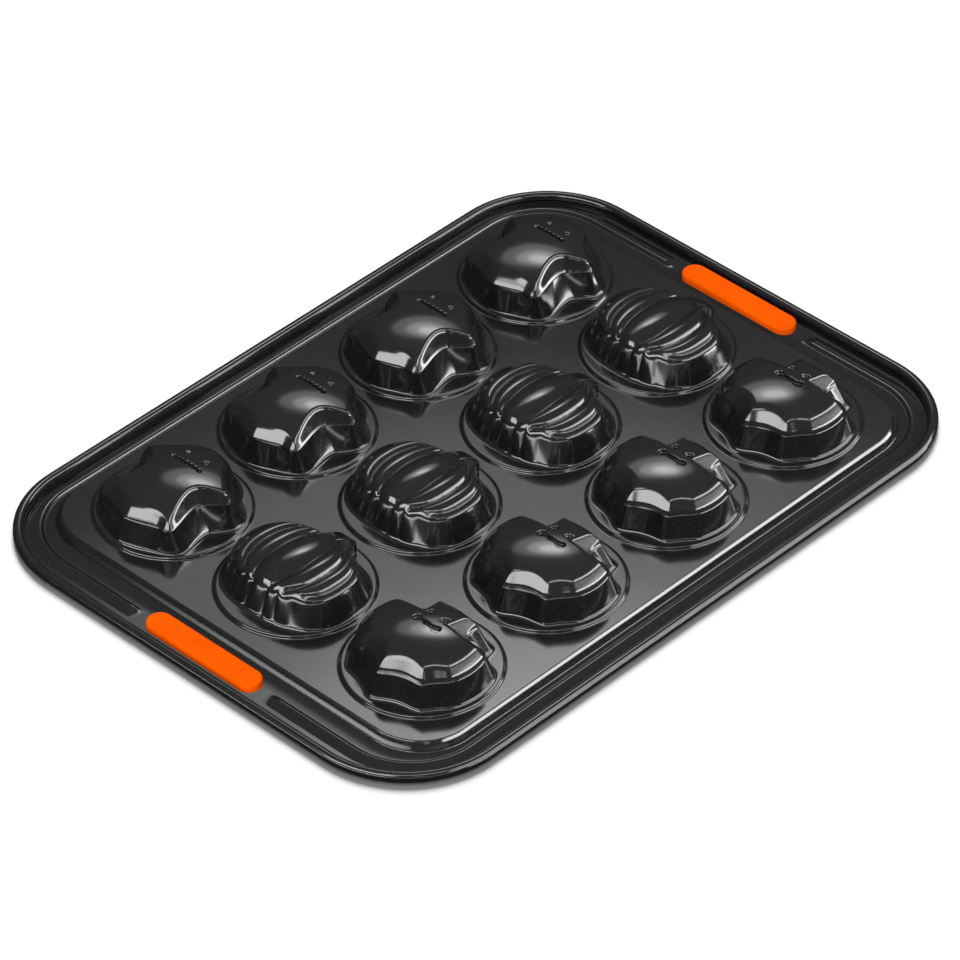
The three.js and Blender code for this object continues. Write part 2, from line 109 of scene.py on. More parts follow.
# Upper faces, in mm: a narrow ledge at the top of the wall with its own slope, and widths of the blends.
# Bat: how far its valleys lie over the wall's top.
BAT_RELIEF = {"ledge": 1.2, "ledge_slope": 1.73, "head_valley": 0.8, "wing_valley": 1.6, "valley_blend": 2.2,
              "dome_blend": 1.6}
# Ghost: where the hem's lean gives way to the sides', and hollow of the waist's wall as a share of its run.
GHOST_RELIEF = {"ledge": 0.6, "ledge_slope": 1.28, "skirt_x": -20, "skirt_blend": 4, "hollow": 0.06,
                "hollow_x": -14, "hollow_blend": 4}
# Pumpkin: the crown falls by x*x/fall_x + y*y/fall_y; power and end of the ribs' gathering; place and fade of
# the stem in hundredths of the ledge radius; its bow in mm; share of the flutes at the top of the wall.
PUMPKIN_RELIEF = {"ledge": 0.0, "ledge_slope": 1.43, "blend": 2.2, "fall_x": 150, "fall_y": 190,
                  "gather": 0.7, "gathered": 0.97, "stem_x": 80, "stem_fade": 15, "stem_bow": 5.0,
                  "top_flute": 1.2}
# Faces, in mm from the cup's middle: places along X and across, radii, depths and reach of the sunk edges.
# Bat: a mouth like a bone with knobs at its ends, and round eyes. Ghost: a row of stitches and dots for eyes.
BAT_FACE = {"mouth_x": 2.8, "mouth_half": 5.2, "mouth_radius": 1.2, "mouth_depth": 1.8, "knob": 1.3,
            "knob_y": 4.6, "knob_blend": 1.6, "eye_x": 9.7, "eye_y": 4.3, "eye_radius": 1.8, "eye_depth": 1.5,
            "edge": 0.32}
GHOST_FACE = {"mouth_x": 9.6, "stitch": 2.6, "stitch_radius": 1.1, "mouth_half": 9.1, "thread_half": 8.0,
              "thread_radius": 0.4, "mouth_depth": 1.9, "eye_x": 16.4, "eye_y": 5.7, "eye_radius": 1.2,
              "eye_depth": 1.6, "edge": 0.3}

# Bends of a cup's section at ring foot, ring top, wall foot and wall top: reaches in mm, the last being the
# figure's own, rows in each bend, and rows in the straight before it.
CUP_REACHES = (0.65, 0.65, 1.8)
CUP_BEND_ROWS = (5, 5, 8, 10)
CUP_RUN_ROWS = (1, 1, 3, 9)
# Most of a straight stretch that the bend at one of its ends may take up.
BEND_SHARE = 0.48
# Points that are compared with an outline at a time, to spare memory.
BLOCK = 2000

# Soft grips: the node that each one takes the place of, and its side of the pan.
PADS = {"grip_left_pad": ("grip_left", -1), "grip_right_pad": ("grip_right", 1)}

# The side's inner margin dips this far under the deck's flat, so that no crack shows between them. It begins
# and is level at these distances inside and outside the line where the flat is joined on; in mm.
SEAM = 0.005
SEAM_START = 1.0
SEAM_LEVEL = 0.4
# Rows of the frame's section in the bends and straights of side and bead, across the dip and round the roll.
# Reaches of the bends at the side's knee and the bead's crest are in mm.
SIDE_BEND_ROWS, SIDE_RUN_ROWS, KNEE_REACH = (7, 7, 7), (1, 2, 2), 0.5
BEAD_BEND_ROWS, BEAD_RUN_ROWS, CREST_REACH = (6, 9, 5), (1, 1, 5), 0.9
DIP_ROWS = 8
ROLL_ROWS = 34
# Share of the flange's fall that lies beside the foot of the side.
FALL_AT_FOOT = 0.2
# Points on the rounded rectangles' corners, on the pan's long sides and on its ends, where the bead runs out.
CORNER_POINTS, SIDE_POINTS, END_POINTS = 22, 42, 100
# Rows of the deck's flat about a cup, and the least part of a ray that counts.
DECK_ROWS = 3
TINY = 1e-9

# Foot of a grip in mm: inset from its outline and height, up to where the side begins; then the counts of
# rows in the rounding and on the top, and of points round each end and along each side.
GRIP_FOOT = ((3.0, 0.0), (0.4, 0.0), (0.12, 0.12), (0.0, 0.4), (0.0, 1.5), (0.0, 2.6))
GRIP_ROUND_ROWS, GRIP_TOP_ROWS, GRIP_END_POINTS, GRIP_SIDE_POINTS = 9, 12, 33, 44
# Points nearer to each other than this are joined, in mm.
WELD = 1e-4


def length(name, description, millimetres):
    """Property for a length, stored in metres."""
    return FloatProperty(name=name, description=description, default=millimetres * MM, min=0.0,
                         unit="LENGTH", precision=4)


def degrees(name, description, value):
    """Property for an angle, given in degrees and stored in radians."""
    return FloatProperty(name=name, description=description, default=math.radians(value), subtype="ANGLE")


def colour(name, description, hex_value):
    """Property for a colour, given as an sRGB hex value and stored as linear light."""
    return FloatVectorProperty(name=name, description=description, default=linear(hex_value), size=3,
                               min=0.0, max=1.0, subtype="COLOR")


def linear(hex_value):
    """Linear light of an sRGB hex colour such as '#f5640a'."""
    parts = [int(hex_value[k:k + 2], 16) / 255 for k in (1, 3, 5)]
    return tuple(c / 12.92 if c <= 0.04045 else ((c + 0.055) / 1.055) ** 2.4 for c in parts)


class PanSheetSizes(bpy.types.PropertyGroup):
    """Sizes of the pressed sheet outside the cups"""

    sheet: length("Sheet", "Thickness of the coated steel", 0.8)
    deck_top: length("Deck height", "Deck's upper face over the surface the pan lies on", 6.1)
    flange_top: length("Flange height", "Flange's upper face over the surface", 1.8)
    deck_half_x: length("Deck half length", "Half the deck's length, to its edge", 165.0)
    deck_half_y: length("Deck half width", "Half the deck's width, to its edge", 121.3)
    deck_corner: length("Deck corner", "Radius of the deck's corners", 25.9)
    deck_bend: length("Deck bend", "Reach of the bends at the side's upper and lower edge", 0.45)
    deck_edge: length("Deck's edge", "Middle of that bend, beyond the nominal deck", 0.35)
    flange_fall: length("Flange's fall", "Fall of the flange from the foot of the side to its bead", 0.65)
    deck_lap: length("Deck lap", "Distance from the deck's edge to where its flat is joined on", 2.0)
    side_knee: length("Side knee", "Run from the deck's edge to where the side gets steeper", 1.65)
    side_run: length("Side run", "Run from the deck's edge to the foot of the side", 3.35)
    side_lean: degrees("Side lean", "Slope of the side at the deck's edge", 49)
    bead_half_x: length("Bead half length", "Half length to the bead's outer foot", 183.8)
    bead_half_y: length("Bead half width", "Half width to the bead's outer foot", 134.3)
    bead_corner: length("Bead corner", "Corner radius of the bead's outer foot", 42.0)
    bead_width: length("Bead width", "Width of the stiffening bead", 7.5)
    bead_flank: length("Bead flank", "Run of the bead's steeper inner flank", 1.7)
    bead_height: length("Bead height", "Rise of the stiffening bead", 1.4)
    bead_gone: length("Bead end", "Distance from the middle of an end where the bead has run out", 42.6)
    bead_full: length("Bead full", "Distance from the middle of an end where the bead is whole", 46.0)
    roll_half_x: length("Roll half length", "Half length to the middle of the rolled edge", 190.54)
    roll_half_y: length("Roll half width", "Half width to the middle of the rolled edge", 138.24)
    roll_corner: length("Roll corner", "Corner radius of the rolled edge", 50.1)
    roll_radius: length("Roll radius", "Outer radius of the roll about its wire", 2.6)
    roll_turn: degrees("Roll turn", "Angle that the edge is rolled through", 280)


class PanCupSizes(bpy.types.PropertyGroup):
    """Sizes of the twelve cups, with heights over the deck"""

    lip_radius: length("Lip radius", "Radius where a cup's own surface meets the flat deck", 38.5)
    ring_radius: length("Ring radius", "Foot of the low round step about a cup", 37.3)
    ring_top: length("Ring top", "Upper edge of that step", 36.35)
    ledge_radius: length("Ledge radius", "Circle on the ledge that the figures are drawn in", 35.8)
    ring_rise: length("Ring rise", "Height of that step", 1.5)
    ghost_crown: length("Ghost crown", "Height of the ghost's dome", 22.45)
    bat_crown: length("Bat crown", "Height of the bat's dome", 23.15)
    dome_radius: length("Dome radius", "Radius of the dome's curve", 88.0)
    bat_edge: length("Bat edge", "Height of the wing's wall", 13.2)
    bat_head_edge: length("Bat head edge", "Height of the head's wall", 15.0)
    bat_round: length("Bat edge rounding", "Reach of the round at the top of the bat's wall", 0.5)
    bat_lean: degrees("Bat facet lean", "Slope of the facets about the bat", 47)
    ghost_edge: length("Ghost edge", "Height of the ghost's wall", 13.4)
    ghost_lean: degrees("Ghost side lean", "Slope of the band at the ghost's sides", 60)
    hem_lean: degrees("Ghost hem lean", "Slope of that band at the ghost's hem", 46)
    ghost_round: length("Ghost rounding", "Blend between that band and the ghost's dome", 1.8)
    ghost_bend: length("Ghost edge rounding", "Reach of the round at the top of the ghost's wall", 0.9)
    pumpkin_edge: length("Pumpkin edge", "Height of the pumpkin's wall", 14.5)
    pumpkin_bend: length("Pumpkin edge rounding", "Reach of the round at the top of the pumpkin's wall", 2.0)
    pumpkin_crown: length("Pumpkin crown", "Height of the pumpkin's middle rib", 20.6)
    stem_edge: length("Stem edge", "Height of the pumpkin's stem where it leaves the ribs", 15.5)
    rib_height: length("Rib height", "How far a rib stands over its grooves", 1.8)
    flute: length("Flute", "Depth of the faint flutes down the pumpkin's wall", 0.45)


class PanGripSizes(bpy.types.PropertyGroup):
    """Sizes of the soft grips"""

    grip_length: length("Grip length", "Length of a grip, along the pan's end", 68.8)
    grip_width: length("Grip width", "Width of a grip", 12.8)
    grip_top: length("Grip height", "Top of a grip over the surface", 5.1)
    grip_round: length("Grip rounding", "Rounding of a grip's upper edge", 1.5)
    grip_line: length("Grip line", "Distance of a grip's middle from the pan's middle", 178.8)


class PanFinish(bpy.types.PropertyGroup):
    """Colours of the pan's materials and of the floor"""

    coating: colour("Coating", "Nonstick coating", "#0a0a0b")
    fleck: colour("Fleck", "Fine flecks in the coating", "#242426")
    silicone: colour("Silicone", "Grips", "#fb5c00")
    silicone_shade: colour("Silicone shade", "Darker clouds in the grips", "#ef5500")
    wire: colour("Wire", "Steel wire in the rolled edge", "#a9abae")
    floor: colour("Floor", "Pale studio floor", "#f2f2f2")


def millimetres(group):
    """All lengths of a property group in millimetres, and its angles in radians, by name."""
    values = {}
    for key in group.bl_rna.properties.keys():
        prop = group.bl_rna.properties[key]
        if prop.type == "FLOAT" and not prop.is_array:
            values[key] = getattr(group, key) * (1 / MM if prop.unit == "LENGTH" else 1)
    return type("Sizes", (), values)


def curve_through(points, steps, before=None, after=None):
    """Catmull-Rom curve: a cubic between neighbours whose ends are tangent to the chord of the next
    points on either side. The last point is left out, so that stretches can follow each other."""
    p = np.asarray(points, float)
    first = 2 * p[0] - p[1] if before is None else np.asarray(before, float)
    last = 2 * p[-1] - p[-2] if after is None else np.asarray(after, float)
    q = np.vstack([first, p, last])
    t = np.linspace(0, 1, steps, endpoint=False)[None, :, None]
    a, b, c, d = (q[k:len(q) - 3 + k, None, :] for k in range(4))
    cubic = (2 * b + (c - a) * t + (2 * a - 5 * b + 4 * c - d) * t ** 2 + (3 * b - a - 3 * c + d) * t ** 3)
    return (cubic / 2).reshape(-1, p.shape[1])


def straight_through(points, steps):
    """Straight stretches between the points, steps to a stretch, with the last point left out."""
    p = np.asarray(points, float)
    t = np.linspace(0, 1, steps, endpoint=False)[None, :, None]
    return (p[:-1, None] + (p[1:, None] - p[:-1, None]) * t).reshape(-1, p.shape[1])


def bowed(start, end, sag, steps):
    """Parabola from start to end that bows by sag to the left of the walk, without its last point."""
    a, b = np.asarray(start, float), np.asarray(end, float)
    t = np.linspace(0, 1, steps, endpoint=False)[:, None]
    left = np.array([a[1] - b[1], b[0] - a[0]]) / np.hypot(*(b - a))
    return a + (b - a) * t + left * sag * 4 * t * (1 - t)


def whole_outline(half, passes):
    """Half outline and its mirror image in the X axis as one loop, with corners eased by passes of a
    moving mean over each point and its two neighbours."""
    loop = np.vstack([half, half[-2:0:-1] * [1, -1]])
    for _ in range(passes):
        loop = (np.roll(loop, 1, 0) + 2 * loop + np.roll(loop, -1, 0)) / 4
    return loop


def bat_outline(shape, scale):
    """Bat: straight head and shoulders, a wing on a circle, and two scallops on each side of the hem."""
    front, tail = (shape["front"], 0.0), (shape["tail"], 0.0)
    begin = math.atan2(shape["shoulder"][1], shape["shoulder"][0]) + WING_START
    end = math.atan2(shape["tip"][1], shape["tip"][0])
    angles = np.linspace(begin, end, BAT_STEPS["wing"], endpoint=False)
    wing = shape["wing"] * np.stack([np.cos(angles), np.sin(angles)], 1)
    half = np.vstack([
        straight_through([front, shape["corner"], shape["notch"]], BAT_STEPS["head"]),
        straight_through([shape["notch"], shape["shoulder"]], BAT_STEPS["neck"]),
        straight_through([shape["shoulder"], wing[0]], BAT_STEPS["shoulder"]),
        wing,
        bowed(shape["tip"], shape["mid_tip"], shape["tip_sag"], BAT_STEPS["tip"]),
        bowed(shape["mid_tip"], tail, shape["hem_sag"], BAT_STEPS["hem"]),
        [tail],
    ])
    return whole_outline(half * scale / 100, EASING["bat"])


def ghost_outline(shape, scale):
    """Ghost: a round head, then curves through the arm, waist and skirt, a corner, and the hem."""
    angles = np.radians(np.linspace(0, HEAD_SPAN, GHOST_STEPS["head"], endpoint=False))
    head = shape["head_radius"] * np.stack([np.cos(angles), np.sin(angles)], 1) + [shape["head_centre"], 0]
    hem = shape["hem"]
    half = np.vstack([
        head,
        curve_through([*shape["side"], hem[0]], GHOST_STEPS["curve"], before=head[-HEAD_BACK]),
        curve_through(hem, GHOST_STEPS["curve"], after=(hem[-2][0], -hem[-2][1])),
        [hem[-1]],
    ])
    return whole_outline(half * scale / 100, EASING["ghost"])


def pumpkin_outline(shape, scale):
    """Pumpkin: the oval whose |x/a| and |y/b|, raised to one power, add up to 1, with a straight stem at +X
    that runs out to its reach."""
    half_x, half_y, reach = (shape[k] * scale / 100 for k in ("half_x", "half_y", "stem_reach"))
    angles = np.linspace(0, 2 * math.pi, PUMPKIN_STEPS, endpoint=False)
    c, s = np.cos(angles), np.sin(angles)
    radius = (np.abs(c / half_x) ** OVAL_POWER + np.abs(s / half_y) ** OVAL_POWER) ** (-1 / OVAL_POWER)
    loop = np.stack([radius * c, radius * s], 1)
    inside = shape["stem_half"] + STEM_ROUND - np.abs(loop[:, 1])
    share = ease(inside / (2 * STEM_ROUND)) * (c > 0)
    loop[:, 0] += share * (reach - loop[:, 0])
    return loop


def ease(share):
    """Smooth step: three squares of the share less two cubes, from 0 to 1 and held there."""
    t = np.clip(share, 0, 1)
    return t * t * (3 - 2 * t)


def nearest(points, loop):
    """Distance of each point to a closed outline, and the height of the outline at that place: the
    outline is a chain of straight pieces, and each point is dropped onto every piece."""
    start, step = loop, np.roll(loop, -1, 0) - loop
    flat = step[:, :2]
    best = np.full(len(points), np.inf)
    height = np.zeros(len(points))
    for block in np.array_split(np.arange(len(points)), max(1, len(points) // BLOCK)):
        offset = points[block, None, :] - start[None, :, :2]
        along = np.clip((offset * flat).sum(2) / (flat ** 2).sum(1), 0, 1)
        gap = np.linalg.norm(offset - along[..., None] * flat, axis=2)
        pick = gap.argmin(1)
        rows = np.arange(len(block))
        best[block] = gap[rows, pick]
        height[block] = start[pick, 2] + along[rows, pick] * step[pick, 2]
    return best, height


def soft_least(a, b, width):
    """Least of two heights, with the crease between them rounded over the given width."""
    share = np.clip(0.5 + 0.5 * (b - a) / width, 0, 1)
    return b + (a - b) * share - width * share * (1 - share)


def soft_step(value, width):
    """Smooth step from 0 to 1 while value runs from -width to width."""
    return ease(0.5 + 0.5 * value / width)


def sunk(distance, depth, edge):
    """Depth of a pressed mark at a distance from its outline, which counts as negative inside it."""
    return depth * soft_step(-distance, edge)


def dome(crown, radius, x, y):
    """Shallow dome: the crown less the square of the distance from the middle over twice the radius."""
    return crown - (x * x + y * y) / (2 * radius)


def edge_roof(relief, top, x, y, lean):
    """Height that rises inwards from the top of the wall: at the ledge's slope, and at the lean beyond it."""
    points = np.stack([x.ravel(), y.ravel()], 1)
    gap, height = (values.reshape(x.shape) for values in nearest(points, top))
    ledge = np.minimum(gap, relief["ledge"])
    return height + relief["ledge_slope"] * ledge + np.tan(lean) * (gap - ledge)


def bat_cap(sizes, top, x, y):
    """Bat's upper face: a steep narrow ledge, then facets at one lean up to the dome, with a valley between
    head and wing; mouth and eyes are sunk into it."""
    relief, face = BAT_RELIEF, BAT_FACE
    roof = edge_roof(relief, top, x, y, sizes.bat_lean)
    lean = math.tan(sizes.bat_lean)
    scale = sizes.ledge_radius / 100
    notch, shoulder, corner = (np.array(BAT_TOP[k]) * scale for k in ("notch", "shoulder", "corner"))
    side = np.abs(y)
    head = sizes.bat_head_edge + relief["head_valley"] + lean * ((corner[1] + notch[1]) / 2 - side)
    reach = notch[0] + (shoulder[0] - notch[0]) * (side - notch[1]) / (shoulder[1] - notch[1])
    wing = sizes.bat_edge + relief["wing_valley"] + lean * (reach - x)
    folded = soft_least(roof, np.maximum(head, wing), relief["valley_blend"])
    z = soft_least(folded, dome(sizes.bat_crown, sizes.dome_radius, x, y), relief["dome_blend"])
    swell = face["mouth_radius"] + face["knob"] * soft_step(side - face["knob_y"], face["knob_blend"])
    mouth = np.hypot(x - face["mouth_x"], np.maximum(side - face["mouth_half"], 0)) - swell
    eyes = np.hypot(x - face["eye_x"], side - face["eye_y"]) - face["eye_radius"]
    return z - sunk(mouth, face["mouth_depth"], face["edge"]) - sunk(eyes, face["eye_depth"], face["edge"])


def ghost_cap(sizes, top, x, y):
    """Ghost's upper face: a narrow ledge, then a band that is steep at the sides and less so at the hem, and
    blends into the dome; a mouth of stitches on a thread and two dots for eyes are sunk into it."""
    relief, face = GHOST_RELIEF, GHOST_FACE
    on_side = soft_step(x - relief["skirt_x"], relief["skirt_blend"])
    band = edge_roof(relief, top, x, y, sizes.hem_lean + (sizes.ghost_lean - sizes.hem_lean) * on_side)
    z = soft_least(band, dome(sizes.ghost_crown, sizes.dome_radius, x, y), sizes.ghost_round)
    side, half = np.abs(y), face["stitch"] / 2
    beads = np.hypot(x - face["mouth_x"], (side + half) % face["stitch"] - half) - face["stitch_radius"]
    beads = np.where(side < face["mouth_half"], beads, np.inf)
    thread = np.maximum(np.abs(x - face["mouth_x"]) - face["thread_radius"], side - face["thread_half"])
    mouth = np.minimum(beads, thread)
    eyes = np.hypot(x - face["eye_x"], side - face["eye_y"]) - face["eye_radius"]
    return z - sunk(mouth, face["mouth_depth"], face["edge"]) - sunk(eyes, face["eye_depth"], face["edge"])


def rib_bulge(across):
    """Rib's cross-section: one on the crest, falling with the square to zero at the grooves."""
    place = np.abs(across)
    edges = np.concatenate([[-GROOVES[0]], GROOVES, [LAST_RIB]])
    k = np.clip(np.searchsorted(edges, place, side="left"), 1, len(edges) - 1)
    middle, half = (edges[k - 1] + edges[k]) / 2, (edges[k] - edges[k - 1]) / 2
    return np.clip(1 - ((place - middle) / half) ** 2, 0, 1)


def pumpkin_across(sizes, x, y):
    """Place across the pumpkin from -1 to 1: grooves gather towards both ends, as on a real one."""
    half_x, half_y = (PUMPKIN_GROOVES[k] * sizes.ledge_radius / 100 for k in ("half_x", "half_y"))
    along = np.clip(np.abs(x) / half_x, 0, PUMPKIN_RELIEF["gathered"])
    return y / (half_y * (1 - along ** OVAL_POWER) ** PUMPKIN_RELIEF["gather"])


def pumpkin_cap(sizes, top, x, y):
    """Pumpkin's upper face: ribs on a shallow crown, which falls with the squares of x and y, cut by a
    leaning edge that rises from the wall's top."""
    relief = PUMPKIN_RELIEF
    edge = edge_roof(relief, top, x, y, math.atan(relief["ledge_slope"]))
    bulge = rib_bulge(pumpkin_across(sizes, x, y))
    crown = sizes.pumpkin_crown - x * x / relief["fall_x"] - y * y / relief["fall_y"]
    return soft_least(edge, crown - sizes.rib_height * (1 - bulge), relief["blend"])


def rounded_section(corners, reaches, bend_rows, straight_rows):
    """Rows of points along a chain of corners, one column for each place on the outline. Each inner
    corner is replaced by a parabola (quadratic Bezier curve) that begins and ends at its reach."""
    rows = [corners[0][None]]
    last = corners[0]
    for k in range(1, len(corners) - 1):
        here, back, ahead = corners[k], corners[k - 1] - corners[k], corners[k + 1] - corners[k]
        back_length = np.linalg.norm(back, axis=1, keepdims=True)
        ahead_length = np.linalg.norm(ahead, axis=1, keepdims=True)
        begin = here + back * np.minimum(reaches[k - 1] / back_length, BEND_SHARE)
        end = here + ahead * np.minimum(reaches[k - 1] / ahead_length, BEND_SHARE)
        t = np.linspace(0, 1, straight_rows[k - 1] + 1, endpoint=False)[1:, None, None]
        rows.append(last + (begin - last) * t)
        t = np.linspace(0, 1, bend_rows[k - 1])[:, None, None]
        rows.append(begin * (1 - t) ** 2 + 2 * here * t * (1 - t) + end * t ** 2)
        last = end
    return np.concatenate(rows)


def cup_grid(sizes, foot, top, bow, cap, edge_reach, bands):
    """Cup from the flat deck to its crown: round step, ledge, wall and upper face. Columns follow the
    outline; the wall is ruled from foot to top and bows out where asked; rows of the upper face shrink
    the top outline towards the middle, and the last row is one point."""
    angle = np.arctan2(foot[:, 1], foot[:, 0])
    ray = np.stack([np.cos(angle), np.sin(angle), np.zeros_like(angle)], 1)
    lift = np.array([0, 0, sizes.ring_rise])
    wall_foot = np.column_stack([foot, np.full(len(foot), sizes.ring_rise)])
    inward = 1 - edge_reach / np.hypot(top[:, 0], top[:, 1])
    inner = top[:, :2] * inward[:, None]
    inner = np.column_stack([inner, cap(sizes, top, inner[None, :, 0], inner[None, :, 1])[0]])
    corners = [ray * sizes.lip_radius, ray * sizes.ring_radius, ray * sizes.ring_top + lift,
               wall_foot, top, inner]
    section = rounded_section(corners, (*CUP_REACHES, edge_reach), CUP_BEND_ROWS, CUP_RUN_ROWS)
    v = np.clip((section[..., 2] - sizes.ring_rise) / (top[:, 2] - sizes.ring_rise), 0, 1)
    wall_row = 1 + sum(CUP_BEND_ROWS[:2]) + sum(CUP_RUN_ROWS[:3])
    on_wall = np.arange(len(section)) >= wall_row
    section[..., :2] += (4 * v * (1 - v) * on_wall[:, None])[..., None] * bow
    share, row = np.transpose(bands)
    shrink = np.interp(np.arange(row[-1] + 1), row, share)[1:-1]
    place = inner[None, :, :2] * shrink[:, None, None]
    upper = np.concatenate([place, cap(sizes, top, place[..., 0], place[..., 1])[..., None]], 2)
    centre = cap(sizes, top, np.zeros((1, 1)), np.zeros((1, 1)))[0, 0]
    pole = np.broadcast_to([0.0, 0.0, centre], (1, len(foot), 3))
    return np.concatenate([section, upper, pole])


def loft(name, grid, close_end, material, node, extra=None):
    """Mesh object from rows of points whose columns go once round; the last row may be one point. More
    grids of the same kind may follow as extra. Millimetres become metres here."""
    vertices, quads, triangles, first = [], [], [], 0
    for rows, pole in [(grid, close_end), *((g, False) for g in extra or [])]:
        columns = rows.shape[1]
        body = rows[:-1] if pole else rows
        index = first + np.arange(body.shape[0] * columns).reshape(body.shape[0], columns)
        beside = np.roll(index, -1, 1)
        quads.append(np.stack([index[:-1], beside[:-1], beside[1:], index[1:]], 2).reshape(-1, 4))
        vertices.append(body.reshape(-1, 3))
        first += body.shape[0] * columns
        if pole:
            vertices.append(rows[-1, :1])
            tip = np.full(columns, first)
            triangles.append(np.stack([index[-1], beside[-1], tip], 1))
            first += 1
    points = np.concatenate(vertices) * MM
    faces = np.concatenate(quads)
    fan = np.concatenate(triangles) if triangles else np.zeros((0, 3), int)
    mesh = bpy.data.meshes.new(name)
    mesh.vertices.add(len(points))
    mesh.vertices.foreach_set("co", points.ravel())
    loops = np.concatenate([faces.ravel(), fan.ravel()])
    starts = np.concatenate([np.arange(len(faces)) * 4, len(faces) * 4 + np.arange(len(fan)) * 3])
    mesh.loops.add(len(loops))
    mesh.loops.foreach_set("vertex_index", loops)
    mesh.polygons.add(len(starts))
    mesh.polygons.foreach_set("loop_start", starts)
    mesh.polygons.foreach_set("use_smooth", np.ones(len(starts), bool))
    mesh.update(calc_edges=True)
    uses = np.empty(len(mesh.loops), int)
    mesh.loops.foreach_get("edge_index", uses)
    border = np.bincount(uses, minlength=len(mesh.edges)) == 1
    mesh.attributes.new("sharp_edge", "BOOLEAN", "EDGE").data.foreach_set("value", border)
    mesh.materials.append(material)
    piece = bpy.data.objects.new(name, mesh)
    bpy.context.scene.collection.objects.link(piece)
    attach(piece, BODY)
    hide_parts(node)
    return piece


def thicken(piece, millimetre):
    """Gives a surface the sheet's thickness on its lower side."""
    shell = piece.modifiers.new("sheet", "SOLIDIFY")
    shell.thickness = millimetre * MM
    shell.offset = -1
    shell.use_even_offset = False


def weld(piece):
    """Joins points of a mesh that lie on each other, and drops the faces that shrink to lines."""
    shape = bmesh.new()
    shape.from_mesh(piece.data)
    bmesh.ops.remove_doubles(shape, verts=shape.verts, dist=WELD * MM)
    for edge in shape.edges:
        edge.smooth = True
    shape.to_mesh(piece.data)
    shape.free()


def figure_outlines(sizes, figure):
    """Foot, top with heights, and bow of a figure's wall. The bat's wall falls from head to wing; the ghost's
    is a little hollow at the waist; the pumpkin's has flutes, and bows out under the stem."""
    scale = sizes.ledge_radius
    if figure == "bat":
        foot, flat = bat_outline(BAT_FOOT, scale), bat_outline(BAT_TOP, scale)
        notch, shoulder = (BAT_TOP[k][1] * scale / 100 for k in ("notch", "shoulder"))
        fall = np.clip((np.abs(flat[:, 1]) - notch) / (shoulder - notch), 0, 1)
        fall = np.where(flat[:, 0] > 0, fall, 1.0)
        height = sizes.bat_head_edge + (sizes.bat_edge - sizes.bat_head_edge) * fall
        return foot, np.column_stack([flat, height]), np.zeros_like(foot)
    if figure == "ghost":
        foot, flat = ghost_outline(GHOST_FOOT, scale), ghost_outline(GHOST_TOP, scale)
        relief = GHOST_RELIEF
        at_waist = soft_step(flat[:, :1] - relief["hollow_x"], relief["hollow_blend"])
        bow = relief["hollow"] * (flat - foot) * at_waist
        return foot, np.column_stack([flat, np.full(len(flat), sizes.ghost_edge)]), bow
    relief = PUMPKIN_RELIEF
    foot, flat = pumpkin_outline(PUMPKIN_FOOT, scale), pumpkin_outline(PUMPKIN_TOP, scale)
    bulge = ease(rib_bulge(pumpkin_across(sizes, flat[:, 0], flat[:, 1])))
    on_stem = np.clip((foot[:, 0] * 100 / scale - relief["stem_x"]) / relief["stem_fade"], 0, 1)
    outward = flat / np.linalg.norm(flat, axis=1, keepdims=True)
    flute = outward * (sizes.flute * (1 - on_stem))[:, None]
    flat -= relief["top_flute"] * flute * (1 - bulge)[:, None]
    bow = flute * (bulge - 0.5)[:, None]
    bow[:, 0] += relief["stem_bow"] * on_stem
    height = sizes.pumpkin_edge + (sizes.stem_edge - sizes.pumpkin_edge) * on_stem
    return foot, np.column_stack([flat, height]), bow


CAPS = {"bat": bat_cap, "ghost": ghost_cap, "pumpkin": pumpkin_cap}
# Rows of a cup's upper face: share of the way out from the middle, and row number; close rows at the faces.
CAP_BANDS = {
    "bat": ((1.0, 0), (0.68, 20), (0.5, 28), (0.05, 72), (0.0, 74)),
    "ghost": ((1.0, 0), (0.62, 24), (0.28, 66), (0.0, 76)),
    "pumpkin": ((1.0, 0), (0.7, 20), (0.0, 60)),
}


def build_cups(figure):
    """Four cups of one figure, each where the frame holds its node."""
    scene = bpy.context.scene
    sizes = millimetres(scene.pan_cups)
    sheet = millimetres(scene.pan_sheet)
    reach = {"bat": sizes.bat_round, "ghost": sizes.ghost_bend, "pumpkin": sizes.pumpkin_bend}[figure]
    foot, top, bow = figure_outlines(sizes, figure)
    grid = cup_grid(sizes, foot, top, bow, CAPS[figure], reach, CAP_BANDS[figure])
    for node in sorted(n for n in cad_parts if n.startswith(f"cup_{figure}_")):
        low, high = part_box(node)
        centre = [(low.x + high.x) / 2 / MM, (low.y + high.y) / 2 / MM, sheet.deck_top]
        piece = loft(f"{node}_sheet", grid + centre, True, nonstick_coating(), node)
        thicken(piece, sheet.sheet)


def rounded_rectangle(half_x, half_y, corner):
    """Rows of rounded rectangles, counterclockwise: four quarter circles joined by straight sides. Each
    row has its own half sizes and corner radius, and all rows have the same places."""
    arc = np.linspace(0, math.pi / 2, CORNER_POINTS)
    side, end = (np.linspace(0, 1, count)[1:-1] for count in (SIDE_POINTS, END_POINTS))
    half_x, half_y, corner = (np.asarray(v, float)[:, None] for v in (half_x, half_y, corner))
    parts = []
    for k, (sign_x, sign_y) in enumerate([(1, 1), (-1, 1), (-1, -1), (1, -1)]):
        angle = arc + k * math.pi / 2
        parts.append(np.stack([sign_x * (half_x - corner) + corner * np.cos(angle),
                               sign_y * (half_y - corner) + corner * np.sin(angle)], 2))
    whole = []
    for k in range(4):
        here, ahead = parts[k][:, -1:], parts[(k + 1) % 4][:, :1]
        share = (side if k % 2 == 0 else end)[None, :, None]
        whole += [parts[k], here + (ahead - here) * share]
    return np.concatenate(whole, 1)


